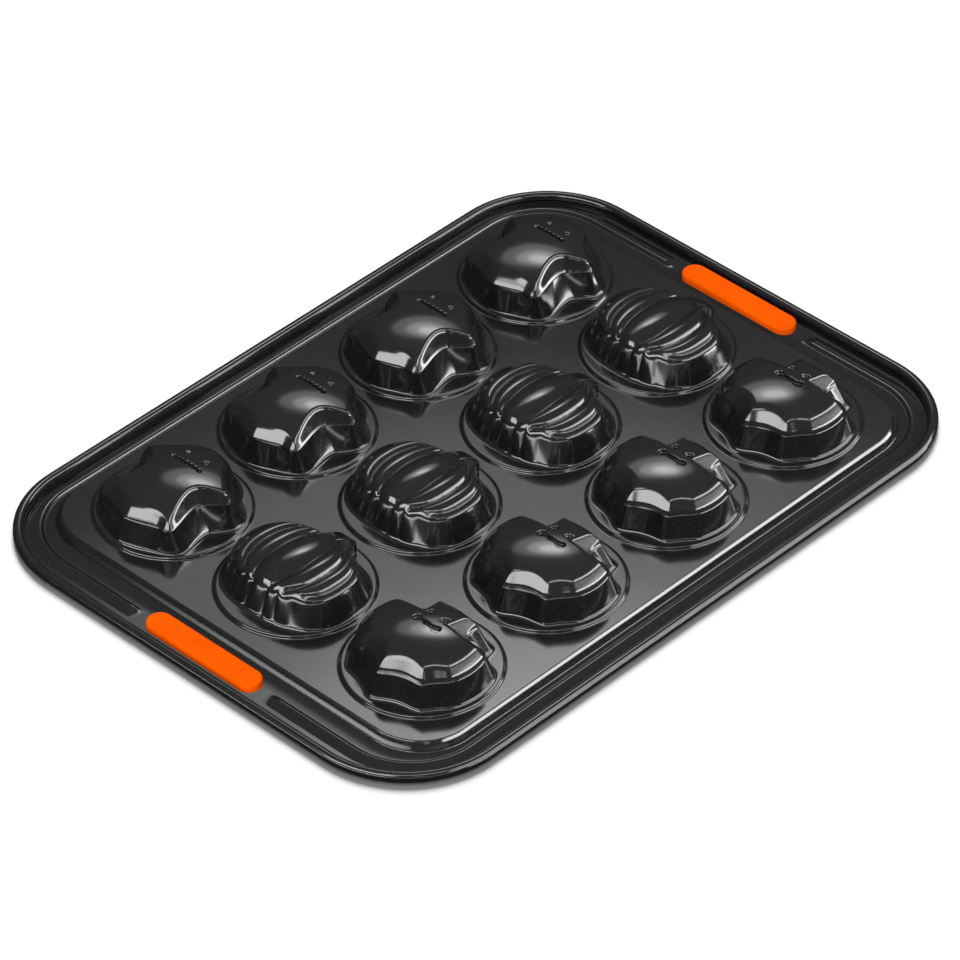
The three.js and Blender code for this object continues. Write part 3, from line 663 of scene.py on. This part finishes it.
def frame_profile(sizes):
    """Rows of the sheet outside the deck's flat: half length, half width, corner radius, height and share
    of the bead. Deck's edge, a side that gets steeper, a flange that falls outwards, a bead with a steep
    inner flank and a long outer fall, a dip, and a circle's arc for the roll."""
    deck = np.array([sizes.deck_half_x, sizes.deck_half_y, sizes.deck_corner])
    bead = np.array([sizes.bead_half_x, sizes.bead_half_y, sizes.bead_corner])
    roll = np.array([sizes.roll_half_x, sizes.roll_half_y, sizes.roll_corner])
    top, low, bend = sizes.deck_top, sizes.flange_top, sizes.deck_bend
    knee = [sizes.side_knee, top - (sizes.side_knee - sizes.deck_edge) * math.tan(sizes.side_lean)]
    base = low - sizes.flange_fall
    foot = [sizes.side_run, low]
    rest = [sizes.side_run + 2 * bend, low - FALL_AT_FOOT * sizes.flange_fall]
    chain = np.array([[sizes.deck_edge - 2 * bend, top], [sizes.deck_edge, top], knee, foot, rest])[:, None]
    side = rounded_section(chain, (bend, KNEE_REACH, bend), SIDE_BEND_ROWS, SIDE_RUN_ROWS)[:, 0]
    lap = [[-sizes.deck_lap - SEAM_START, top - SEAM], [-sizes.deck_lap + SEAM_LEVEL, top]]
    side = np.vstack([lap, side])
    rows = [np.column_stack([deck + side[:, :1], side[:, 1], np.zeros(len(side))])]
    inside = -sizes.bead_width
    chain = [[inside - bend, 0], [inside, 0], [inside + sizes.bead_flank, 1], [0, 0], [bend, 0]]
    chain = np.array(chain, float)[:, None]
    swell = rounded_section(chain, (bend, CREST_REACH, bend), BEAD_BEND_ROWS, BEAD_RUN_ROWS)[:, 0]
    rows.append(np.column_stack([bead + swell[:, :1], np.full(len(swell), base), swell[:, 1]]))
    inner = sizes.roll_radius - sizes.sheet
    t = np.linspace(0, 1, DIP_ROWS)[:-1, None]
    rows.append(np.column_stack([roll - (sizes.roll_radius + sizes.sheet) * (1 - t),
                                 base + (sizes.sheet - base) * ease(t), 0 * t]))
    angle = (-math.pi / 2 + np.linspace(0, sizes.roll_turn, ROLL_ROWS))[:, None]
    rows.append(np.column_stack([roll + inner * np.cos(angle), sizes.roll_radius + inner * np.sin(angle),
                                 0 * angle]))
    return np.vstack(rows)


def frame_grid(sizes):
    """Sheet from the deck's edge to the end of the roll; the bead fades out beside the grips."""
    profile = frame_profile(sizes)
    flat = rounded_rectangle(profile[:, 0], profile[:, 1], profile[:, 2])
    ramp = (np.abs(flat[..., 1]) - sizes.bead_gone) / (sizes.bead_full - sizes.bead_gone)
    ramp = np.where(np.abs(flat[..., 0]) > sizes.deck_half_x, ease(ramp), 1.0)
    z = profile[:, 3:4] + sizes.bead_height * profile[:, 4:5] * ramp
    return np.concatenate([flat, z[..., None]], 2)[::-1]


def deck_cell(sizes, lip_radius, angles, centre, pitch):
    """Flat deck about one cup: rays from the lip circle out to the cell's border, which is the line half
    way to the next cup or the deck's own rounded edge."""
    ray = np.stack([np.cos(angles), np.sin(angles)], 1)
    half = np.array([sizes.deck_half_x, sizes.deck_half_y]) - sizes.deck_lap
    low = np.where(centre - pitch < -half, -half, centre - pitch / 2) - centre
    high = np.where(centre + pitch > half, half, centre + pitch / 2) - centre
    run = np.where(np.abs(ray) < TINY, TINY, ray)
    reach = (np.where(run > 0, high, low) / run).min(1)
    border = ray * reach[:, None]
    # The ray nearest to each corner of the cell ends in it, so that the cells leave no gap.
    for corner in ((x, y) for x in (low[0], high[0]) for y in (low[1], high[1])):
        off = np.angle(np.exp(1j * (angles - math.atan2(corner[1], corner[0]))))
        border[np.abs(off).argmin()] = corner
    # Rays that end beyond a round corner of the deck are drawn in to it.
    radius = sizes.deck_corner - sizes.deck_lap
    place = border + centre
    middle = np.sign(place) * (half - radius)
    beyond = np.abs(place) > half - radius
    out = place - middle
    far = np.linalg.norm(out, axis=1)
    cut = beyond.all(1) & (far > radius)
    place = np.where(cut[:, None], middle + out * (radius / np.maximum(far, radius))[:, None], place)
    lip = ray * lip_radius + centre
    t = np.linspace(0, 1, DECK_ROWS)[:, None, None]
    flat = place + (lip - place) * t
    return np.concatenate([flat, np.full((*flat.shape[:2], 1), sizes.deck_top)], 2)


def grip_grid(sizes, side):
    """Grip: a bar with half-round ends. Rows go from the middle of its underside, round the foot, past the
    flange, up the side, over a rounded edge and across the flat top to its middle."""
    rise, half_width = sizes.grip_top, sizes.grip_width / 2
    foot_inset, foot_z = np.transpose(GRIP_FOOT)
    bend = np.linspace(0, math.pi / 2, GRIP_ROUND_ROWS)
    across = np.linspace(sizes.grip_round, half_width, GRIP_TOP_ROWS)[1:]
    inset = np.concatenate([[half_width], foot_inset, sizes.grip_round * (1 - np.cos(bend)), across])
    z = np.concatenate([[0.0], foot_z, rise - sizes.grip_round * (1 - np.sin(bend)), 0 * across + rise])
    half = sizes.grip_length / 2 - half_width
    radius = (half_width - inset)[:, None]
    arc = np.linspace(-math.pi / 2, math.pi / 2, GRIP_END_POINTS)
    run = np.linspace(-1, 1, GRIP_SIDE_POINTS)[1:-1]
    ends = [np.stack([radius * np.cos(a), s * half + radius * np.sin(a)], 2)
            for a, s in ((arc + math.pi / 2, 1), (arc + 3 * math.pi / 2, -1))]
    left = np.stack(np.broadcast_arrays(-radius, -run * half), 2)
    right = np.stack(np.broadcast_arrays(radius, run * half), 2)
    flat = np.concatenate([ends[0], left, ends[1], right], 1)
    flat[..., 0] += side * sizes.grip_line
    height = np.broadcast_to(z[:, None], flat.shape[:2])
    return np.concatenate([flat, height[..., None]], 2)


def add_node(tree, kind, settings=None, links=None):
    """Adds a shader node, sets its properties and input defaults, and links its inputs."""
    node = tree.nodes.new(kind)
    for key, value in (settings or {}).items():
        if hasattr(node, key):
            setattr(node, key, value)
        else:
            node.inputs[key].default_value = value
    for key, source in (links or {}).items():
        tree.links.new(source, node.inputs[key])
    return node


def new_material(name):
    """Empty node material, or the one of that name made before."""
    known = bpy.data.materials.get(name)
    if known:
        return known, None
    material = bpy.data.materials.new(name)
    material.use_nodes = True
    material.node_tree.nodes.clear()
    return material, material.node_tree


def nonstick_coating():
    """Sprayed and baked nonstick coating on drawn steel.

    The eye sees a near-black, satin-glossy skin: sharp bright lines on bent edges, dull mirror images on
    flats, a fine spray texture and flecks."""
    material, tree = new_material("baked_nonstick_coating")
    if tree is None:
        return material
    finish = bpy.context.scene.pan_finish
    place = add_node(tree, "ShaderNodeTexCoord")
    # Flecks are about 0.05 mm on the real coating; drawn ten times as coarse, so that they show.
    fleck = add_node(tree, "ShaderNodeTexNoise", {"Scale": 1 / (0.5 * MM), "Detail": 2.0, "Roughness": 0.6},
                     {"Vector": place.outputs["Object"]})
    speck = add_node(tree, "ShaderNodeValToRGB", links={"Fac": fleck.outputs["Fac"]})
    speck.color_ramp.elements[0].position = 0.5
    speck.color_ramp.elements[0].color = (*finish.coating, 1)
    speck.color_ramp.elements[1].position = 0.75
    speck.color_ramp.elements[1].color = (*finish.fleck, 1)
    # Spray lies in soft waves some 9 mm across, which vary the gloss a little.
    cloud = add_node(tree, "ShaderNodeTexNoise", {"Scale": 1 / (9 * MM), "Detail": 3.0},
                     {"Vector": place.outputs["Object"]})
    gloss = add_node(tree, "ShaderNodeMapRange", {"To Min": 0.1, "To Max": 0.15},
                     {"Value": cloud.outputs["Fac"]})
    bump = add_node(tree, "ShaderNodeBump", {"Strength": 0.06, "Distance": 0.02 * MM},
                    {"Height": fleck.outputs["Fac"]})
    shader = add_node(tree, "ShaderNodeBsdfPrincipled", {"IOR": 1.5, "Metallic": 0.0},
                      {"Base Color": speck.outputs["Color"], "Roughness": gloss.outputs["Result"],
                       "Normal": bump.outputs["Normal"]})
    add_node(tree, "ShaderNodeOutputMaterial", links={"Surface": shader.outputs["BSDF"]})
    return material


def moulded_silicone():
    """Compression-moulded silicone rubber: even, saturated orange with a soft sheen from a matt tool."""
    material, tree = new_material("moulded_silicone")
    if tree is None:
        return material
    finish = bpy.context.scene.pan_finish
    place = add_node(tree, "ShaderNodeTexCoord")
    # Spark-eroded tool texture, about 0.3 mm.
    grain = add_node(tree, "ShaderNodeTexNoise", {"Scale": 1 / (0.3 * MM), "Detail": 2.0},
                     {"Vector": place.outputs["Object"]})
    # Pigment lies in faint clouds, about 14 mm across.
    tint = add_node(tree, "ShaderNodeTexNoise", {"Scale": 1 / (14 * MM), "Detail": 2.0},
                    {"Vector": place.outputs["Object"]})
    body = add_node(tree, "ShaderNodeValToRGB", links={"Fac": tint.outputs["Fac"]})
    body.color_ramp.elements[0].position = 0.3
    body.color_ramp.elements[0].color = (*finish.silicone_shade, 1)
    body.color_ramp.elements[1].position = 0.6
    body.color_ramp.elements[1].color = (*finish.silicone, 1)
    bump = add_node(tree, "ShaderNodeBump", {"Strength": 0.15, "Distance": 0.03 * MM},
                    {"Height": grain.outputs["Fac"]})
    shader = add_node(tree, "ShaderNodeBsdfPrincipled",
                      {"IOR": 1.41, "Roughness": 0.75, "Specular IOR Level": 0.02},
                      {"Base Color": body.outputs["Color"], "Normal": bump.outputs["Normal"]})
    add_node(tree, "ShaderNodeOutputMaterial", links={"Surface": shader.outputs["BSDF"]})
    return material


def drawn_wire():
    """Drawn steel wire: bright metal, its polish made uneven by fine scratches."""
    material, tree = new_material("drawn_steel_wire")
    if tree is None:
        return material
    place = add_node(tree, "ShaderNodeTexCoord")
    # Die scratches, about 0.2 mm apart.
    scratch = add_node(tree, "ShaderNodeTexNoise", {"Scale": 1 / (0.2 * MM), "Detail": 2.0},
                       {"Vector": place.outputs["Object"]})
    rough = add_node(tree, "ShaderNodeMapRange", {"To Min": 0.25, "To Max": 0.42},
                     {"Value": scratch.outputs["Fac"]})
    shader = add_node(tree, "ShaderNodeBsdfPrincipled",
                      {"Base Color": (*bpy.context.scene.pan_finish.wire, 1), "Metallic": 1.0},
                      {"Roughness": rough.outputs["Result"]})
    add_node(tree, "ShaderNodeOutputMaterial", links={"Surface": shader.outputs["BSDF"]})
    return material


def matt_floor():
    """Matt painted board: pale, with no gloss."""
    material, tree = new_material("matt_painted_board")
    if tree is None:
        return material
    shader = add_node(tree, "ShaderNodeBsdfPrincipled",
                      {"Base Color": (*bpy.context.scene.pan_finish.floor, 1), "Roughness": 0.9,
                       "Specular IOR Level": 0.2})
    add_node(tree, "ShaderNodeOutputMaterial", links={"Surface": shader.outputs["BSDF"]})
    return material


class PAN_OT_sheet_frame(bpy.types.Operator):
    """Build the deck, side, flange, bead and rolled edge"""

    bl_idname = "pan.sheet_frame"
    bl_label = "Sheet Frame"

    def execute(self, context):
        sizes = millimetres(context.scene.pan_sheet)
        cups = millimetres(context.scene.pan_cups)
        centres = {}
        for node in sorted(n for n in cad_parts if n.startswith("cup_")):
            low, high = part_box(node)
            centres[node] = np.array([low.x + high.x, low.y + high.y]) / 2 / MM
        places = np.array(list(centres.values()))
        pitch = np.array([np.diff(np.unique(places[:, k].round(2))).min() for k in (0, 1)])
        outlines = {figure: figure_outlines(cups, figure)[0] for figure in FIGURES}
        cells = []
        for node, centre in centres.items():
            foot = outlines[node.split("_")[1]]
            angles = np.arctan2(foot[:, 1], foot[:, 0])
            cells.append(deck_cell(sizes, cups.lip_radius, angles, centre, pitch))
        piece = loft("pan_sheet_frame", frame_grid(sizes), False, nonstick_coating(),
                     "pan_frame", cells)
        thicken(piece, sizes.sheet)
        return {"FINISHED"}


class PAN_OT_ghost_cups(bpy.types.Operator):
    """Build the four ghost cups"""

    bl_idname = "pan.ghost_cups"
    bl_label = "Ghost Cups"

    def execute(self, context):
        build_cups("ghost")
        return {"FINISHED"}


class PAN_OT_pumpkin_cups(bpy.types.Operator):
    """Build the four pumpkin cups"""

    bl_idname = "pan.pumpkin_cups"
    bl_label = "Pumpkin Cups"

    def execute(self, context):
        build_cups("pumpkin")
        return {"FINISHED"}


class PAN_OT_bat_cups(bpy.types.Operator):
    """Build the four bat cups"""

    bl_idname = "pan.bat_cups"
    bl_label = "Bat Cups"

    def execute(self, context):
        build_cups("bat")
        return {"FINISHED"}


class PAN_OT_grips(bpy.types.Operator):
    """Build the two soft grips"""

    bl_idname = "pan.grips"
    bl_label = "Grips"

    def execute(self, context):
        sizes = millimetres(context.scene.pan_grips)
        for name, (node, side) in PADS.items():
            pad = loft(name, grip_grid(sizes, side), False, moulded_silicone(), node)
            weld(pad)
            # The coating in the photograph shows no orange mirror images.
            pad.visible_glossy = False
        return {"FINISHED"}


class PAN_OT_rim_wire(bpy.types.Operator):
    """Give the wire in the rolled edge its finish"""

    bl_idname = "pan.rim_wire"
    bl_label = "Rim Wire"

    def execute(self, context):
        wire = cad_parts["rim_wire"]
        wire.material_slots[0].material = drawn_wire()
        return {"FINISHED"}


# Softboxes: name, shape, azimuth, elevation and roll in degrees, width and height in metres, and radiance.
# Each long strip lies where slopes of one steepness, facing one side, mirror it to the camera. They light the
# sheet alone, because they would bleach the grips and wash out the shadow on the floor.
LIGHT_DISTANCE = 1.3
SOFTBOXES = (
    ("left", "RECTANGLE", 178, 43.4, 16, 1.15, 0.34, 12),
    ("left_low", "RECTANGLE", 178, 11.3, 9.5, 1.5, 0.16, 9),
    ("right_high", "RECTANGLE", -40, 44.2, -39.5, 1.65, 0.18, 12),
    ("right_fill", "RECTANGLE", -53, 33.2, -28, 1.9, 0.22, 2.6),
    ("right_low", "RECTANGLE", -58, 24.2, -22, 2.1, 0.16, 18),
    ("right_floor", "RECTANGLE", -59, 1.5, -15, 1.5, 0.12, 18),
    ("back_glow", "ELLIPSE", 41, 47, 0, 0.66, 0.44, 1.5),
    ("back", "ELLIPSE", 39, 49, 0, 0.44, 0.27, 2.8),
    ("back_core", "ELLIPSE", 37, 50, 0, 0.26, 0.15, 5),
    ("front", "RECTANGLE", -128, 38, 0, 0.14, 0.2, 3),
    ("front_high", "RECTANGLE", -130, 64, 0, 0.8, 0.1, 12),
    ("front_low", "RECTANGLE", -124, 14.5, 0, 1.3, 0.08, 5),
)
# Even lights on matt things: name, azimuth, elevation and angle across in degrees, strength, and what is lit.
SKYLIGHTS = (
    ("floor_back", 43, 40, 26, 4.3, "floor"),
    ("grips_back", 43, 40, 26, 1.4, "grips"),
    ("grips_front", -150, 35, 40, 3.2, "grips"),
)
# Radiance of the room, level with the floor and straight above, and half the floor's width in metres.
ROOM = {"low": 0.04, "high": 0.38}
FLOOR_HALF = 6
# Camera: azimuth and elevation in degrees, target and distance in millimetres, roll in degrees, lens and
# sensor in millimetres, from a fit to the rings, deck edge and rim; farthest distance drawn, in metres.
VIEW = {"azimuth": -136.668, "elevation": 38.985, "target": (-8.74, -7.755, 6.1), "distance": 2882.3,
        "roll": 0.254, "lens": 235.44, "sensor": 36.0, "farthest": 50}


def direction(azimuth, elevation):
    """Unit vector at an azimuth from +X towards +Y and an elevation over the floor, in degrees."""
    a, e = math.radians(azimuth), math.radians(elevation)
    return Vector((math.cos(e) * math.cos(a), math.cos(e) * math.sin(a), math.sin(e)))


def studio_world():
    """Room about the pan: dark near the floor, and brighter with the height of the direction."""
    world = bpy.data.worlds.new("studio")
    world.use_nodes = True
    tree = world.node_tree
    tree.nodes.clear()
    place = add_node(tree, "ShaderNodeTexCoord")
    parts = add_node(tree, "ShaderNodeSeparateXYZ", links={"Vector": place.outputs["Generated"]})
    level = add_node(tree, "ShaderNodeMapRange", {"To Min": ROOM["low"], "To Max": ROOM["high"]},
                     {"Value": parts.outputs["Z"]})
    glow = add_node(tree, "ShaderNodeBackground", {"Color": (1, 1, 1, 1)},
                    {"Strength": level.outputs["Result"]})
    add_node(tree, "ShaderNodeOutputWorld", links={"Surface": glow.outputs["Background"]})
    return world


class PAN_OT_stage(bpy.types.Operator):
    """Set the floor, the studio lights and the camera"""

    bl_idname = "pan.stage"
    bl_label = "Studio"

    def execute(self, context):
        scene = context.scene
        scene.view_settings.view_transform = "Standard"
        mesh = bpy.data.meshes.new("studio_floor")
        corners = [(x * FLOOR_HALF, y * FLOOR_HALF, 0) for x, y in ((-1, -1), (1, -1), (1, 1), (-1, 1))]
        mesh.from_pydata(corners, [], [(0, 1, 2, 3)])
        mesh.materials.append(matt_floor())
        floor = bpy.data.objects.new("studio_floor", mesh)
        scene.collection.objects.link(floor)
        # Slopes that face down mirror a dark room and not the pale floor, and the floor doesn't shade the pan
        # from the lowest strip, part of which lies below it.
        floor.visible_glossy = False
        floor.visible_shadow = False
        scene.world = studio_world()
        groups = {}
        pads = [bpy.data.objects[name] for name in PADS]
        for lit, state, pieces in (("sheet", "EXCLUDE", [floor, *pads]), ("floor", "INCLUDE", [floor]),
                                   ("grips", "INCLUDE", pads)):
            groups[lit] = bpy.data.collections.new(f"lit_{lit}")
            for piece in pieces:
                groups[lit].objects.link(piece)
            for entry in groups[lit].collection_objects:
                entry.light_linking.link_state = state
        for name, shape, azimuth, elevation, roll, width, height, radiance in SOFTBOXES:
            light = bpy.data.lights.new(name, "AREA")
            light.shape, light.size, light.size_y = shape, width, height
            area = width * height * (math.pi / 4 if shape == "ELLIPSE" else 1)
            light.energy = radiance * math.pi * area
            lamp = bpy.data.objects.new(name, light)
            lamp.light_linking.receiver_collection = groups["sheet"]
            lamp.location = LIGHT_DISTANCE * direction(azimuth, elevation)
            lamp.rotation_euler = lamp.location.to_track_quat("Z", "Y").to_euler()
            lamp.rotation_euler.rotate_axis("Z", math.radians(roll))
            scene.collection.objects.link(lamp)
        for name, azimuth, elevation, spread, strength, lit in SKYLIGHTS:
            sun = bpy.data.lights.new(name, "SUN")
            sun.energy, sun.angle = strength, math.radians(spread)
            lamp = bpy.data.objects.new(name, sun)
            lamp.light_linking.receiver_collection = groups[lit]
            lamp.rotation_euler = direction(azimuth, elevation).to_track_quat("Z", "Y").to_euler()
            scene.collection.objects.link(lamp)
        camera = bpy.data.cameras.new("camera")
        camera.sensor_width, camera.lens = VIEW["sensor"], VIEW["lens"]
        camera.clip_end = VIEW["farthest"]
        eye = bpy.data.objects.new("camera", camera)
        towards = direction(VIEW["azimuth"], VIEW["elevation"])
        eye.location = (Vector(VIEW["target"]) + VIEW["distance"] * towards) * MM
        eye.rotation_euler = towards.to_track_quat("Z", "Y").to_euler()
        eye.rotation_euler.rotate_axis("Z", math.radians(VIEW["roll"]))
        scene.collection.objects.link(eye)
        scene.camera = eye
        return {"FINISHED"}


class PAN_PT_tools(bpy.types.Panel):
    """Lists the pan's sizes, colours and building steps"""

    bl_label = "Shaped Baking Pan"
    bl_idname = "PAN_PT_tools"
    bl_space_type = "VIEW_3D"
    bl_region_type = "UI"
    bl_category = "Pan"

    def draw(self, context):
        for operator in OPERATORS:
            self.layout.operator(operator.bl_idname)
        for group in GROUPS:
            values = getattr(context.scene, group)
            box = self.layout.box()
            for key in values.bl_rna.properties.keys():
                if key not in ("rna_type", "name"):
                    box.prop(values, key)


GROUPS = {"pan_sheet": PanSheetSizes, "pan_cups": PanCupSizes, "pan_grips": PanGripSizes,
          "pan_finish": PanFinish}
OPERATORS = (PAN_OT_sheet_frame, PAN_OT_ghost_cups, PAN_OT_pumpkin_cups, PAN_OT_bat_cups, PAN_OT_grips,
             PAN_OT_rim_wire, PAN_OT_stage)


def register():
    for cls in (*GROUPS.values(), *OPERATORS, PAN_PT_tools):
        bpy.utils.register_class(cls)
    for name, cls in GROUPS.items():
        setattr(bpy.types.Scene, name, PointerProperty(type=cls))


def unregister():
    for name in GROUPS:
        delattr(bpy.types.Scene, name)
    for cls in reversed((*GROUPS.values(), *OPERATORS, PAN_PT_tools)):
        bpy.utils.unregister_class(cls)


def main():
    register()
    bpy.ops.pan.sheet_frame()
    bpy.ops.pan.ghost_cups()
    bpy.ops.pan.pumpkin_cups()
    bpy.ops.pan.bat_cups()
    bpy.ops.pan.grips()
    bpy.ops.pan.rim_wire()
    bpy.ops.pan.stage()


if __name__ == "__main__":
    main()
